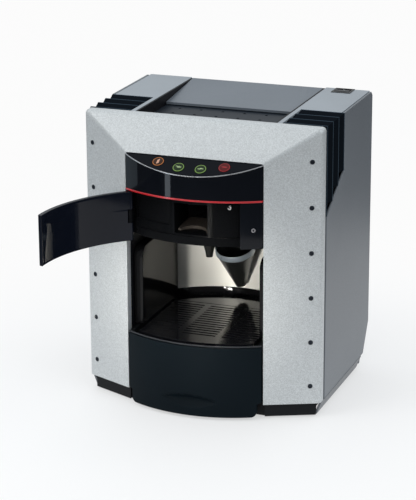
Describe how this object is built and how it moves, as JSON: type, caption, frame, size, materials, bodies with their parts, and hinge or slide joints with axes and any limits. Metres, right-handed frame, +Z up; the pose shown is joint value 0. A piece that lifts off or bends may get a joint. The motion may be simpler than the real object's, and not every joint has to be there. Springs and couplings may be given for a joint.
{
  "type": "pod coffee machine",
  "caption": "Counter-top capsule coffee machine: bevelled front frame, curved fascia with buttons, side-hinged capsule door, cup bay over a pull-out drip drawer, tank under a rear lid.",
  "frame": {"origin": "middle of the floor footprint, measured over the whole part with its door open", "axes": "+Z up, -Y out of the front towards the user, +X to the right of a user facing the front"},
  "size_m": [0.305, 0.3736, 0.3652],
  "materials": {
    "front_frame": "fine metallic sparkle, satin",
    "frame_screws": "dull steel socket heads",
    "frame_carriers": "matte black",
    "side_panel_left": "satin grey",
    "side_panel_right": "satin grey",
    "base_tray": "matte black",
    "base_skirts": "satin grey",
    "feet": "matte rubber",
    "rear_cover": "satin grey",
    "rear_screws": "dull steel socket heads",
    "inner_wall_left": "matte black",
    "inner_wall_right": "matte black",
    "top_rail_left": "satin light grey",
    "top_rail_right": "satin light grey",
    "vent_left": "satin black louvres",
    "vent_right": "satin black louvres",
    "top_well": "matte black",
    "warmer_deck": "satin slate",
    "tank_lid": "satin grey",
    "lid_hinge_pin": "ground steel",
    "power_switch": "gloss black with a white mark",
    "switch_bezel": "gloss black",
    "control_panel": "gloss black",
    "panel_trim": "thin bright line",
    "upper_fascia": "deep gloss black",
    "red_strip": "translucent-looking red",
    "button_board": "green circuit board",
    "button_power": "black with an orange ring symbol",
    "button_short_cup": "black with a green ring symbol",
    "button_long_cup": "black with a green ring symbol",
    "button_stop": "black with a red bar symbol",
    "brew_door": "deep gloss blue-black",
    "door_hinge_pin": "ground steel",
    "door_catch": "white",
    "jamb_panel": "gloss black",
    "jamb_screw": "steel",
    "brew_housing": "satin black",
    "capsule_cradle": "heat-resistant brown-grey",
    "brew_group": "cast",
    "brew_piston": "ground steel",
    "coffee_spout": "black",
    "drain_funnel": "polished steel",
    "capsule_chute": "grey",
    "backsplash": "polished steel",
    "bay_cheeks": "gloss black",
    "bay_ceiling": "black",
    "bay_floor": "gloss black",
    "drawer_front": "satin slate black",
    "drawer_tub": "black",
    "drip_grid": "gloss black",
    "capsule_bin": "grey",
    "water_tank": "clear plastic",
    "flow_meter": "off-white",
    "pump": "brass ends on a dark coil",
    "pump_mount": "soft rubber",
    "boiler": "cast",
    "control_board": "green circuit board",
    "transformer": "varnished windings",
    "water_hoses": "milky hose",
    "mains_inlet": "black, with three contacts"
  },
  "bodies": {
    "machine": {"front_frame": "front_frame", "frame_screws": "frame_screws", "frame_carriers": "frame_carriers", "side_panel_left": "side_panel_left", "side_panel_right": "side_panel_right", "base_tray": "base_tray", "base_skirts": "base_skirts", "feet": "feet", "rear_cover": "rear_cover", "rear_screws": "rear_screws", "inner_wall_left": "inner_wall_left", "inner_wall_right": "inner_wall_right", "top_rail_left": "top_rail_left", "top_rail_right": "top_rail_right", "vent_left": "vent_left", "vent_right": "vent_right", "top_well": "top_well", "warmer_deck": "warmer_deck", "lid_hinge_pin": "lid_hinge_pin", "switch_bezel": "switch_bezel", "control_panel": "control_panel", "panel_trim": "panel_trim", "upper_fascia": "upper_fascia", "red_strip": "red_strip", "button_board": "button_board", "door_hinge_pin": "door_hinge_pin", "door_catch": "door_catch", "jamb_panel": "jamb_panel", "jamb_screw": "jamb_screw", "brew_housing": "brew_housing", "capsule_cradle": "capsule_cradle", "brew_group": "brew_group", "coffee_spout": "coffee_spout", "drain_funnel": "drain_funnel", "capsule_chute": "capsule_chute", "backsplash": "backsplash", "bay_cheeks": "bay_cheeks", "bay_ceiling": "bay_ceiling", "bay_floor": "bay_floor", "water_tank": "water_tank", "flow_meter": "flow_meter", "pump": "pump", "pump_mount": "pump_mount", "boiler": "boiler", "control_board": "control_board", "transformer": "transformer", "water_hoses": "water_hoses", "mains_inlet": "mains_inlet"},
    "door": {"brew_door": "brew_door"},
    "drawer": {"drawer_front": "drawer_front", "drawer_tub": "drawer_tub", "capsule_bin": "capsule_bin"},
    "grid": {"drip_grid": "drip_grid"},
    "lid": {"tank_lid": "tank_lid"},
    "power_key": {"button_power": "button_power"},
    "short_cup_key": {"button_short_cup": "button_short_cup"},
    "long_cup_key": {"button_long_cup": "button_long_cup"},
    "stop_key": {"button_stop": "button_stop"},
    "rocker": {"power_switch": "power_switch"},
    "piston": {"brew_piston": "brew_piston"}
  },
  "joints": [
    {"name": "door_hinge", "type": "hinge", "parent": "machine", "child": "door", "pos_m": [-0.082, -0.0539, 0.244], "axis": [0, 0, 1], "range_deg": [0, 111]},
    {"name": "drawer_slide", "type": "slide", "parent": "machine", "child": "drawer", "axis": [0, -1, 0], "range_m": [0, 0.19]},
    {"name": "grid_lift", "type": "slide", "parent": "drawer", "child": "grid", "axis": [0, 0, 1], "range_m": [0, 0.05]},
    {"name": "lid_hinge", "type": "hinge", "parent": "machine", "child": "lid", "pos_m": [0, 0.1789, 0.3614], "axis": [-1, 0, 0], "range_deg": [0, 100]},
    {"name": "switch_rock", "type": "hinge", "parent": "machine", "child": "rocker", "pos_m": [0.117, 0.17325, 0.361], "axis": [1, 0, 0], "range_deg": [0, 12]},
    {"name": "piston_slide", "type": "slide", "parent": "machine", "child": "piston", "axis": [0, 0, -1], "range_m": [0, 0.02]},
    {"name": "power_press", "type": "slide", "parent": "machine", "child": "power_key", "axis": [0, 0.5, -0.866], "range_m": [0, 0.0012], "stiffness_N_per_m": 600, "springref_m": -0.0006},
    {"name": "short_cup_press", "type": "slide", "parent": "machine", "child": "short_cup_key", "axis": [0, 0.5, -0.866], "range_m": [0, 0.0012], "stiffness_N_per_m": 600, "springref_m": -0.0006},
    {"name": "long_cup_press", "type": "slide", "parent": "machine", "child": "long_cup_key", "axis": [0, 0.5, -0.866], "range_m": [0, 0.0012], "stiffness_N_per_m": 600, "springref_m": -0.0006},
    {"name": "stop_press", "type": "slide", "parent": "machine", "child": "stop_key", "axis": [0, 0.5, -0.866], "range_m": [0, 0.0012], "stiffness_N_per_m": 600, "springref_m": -0.0006}
  ]
}
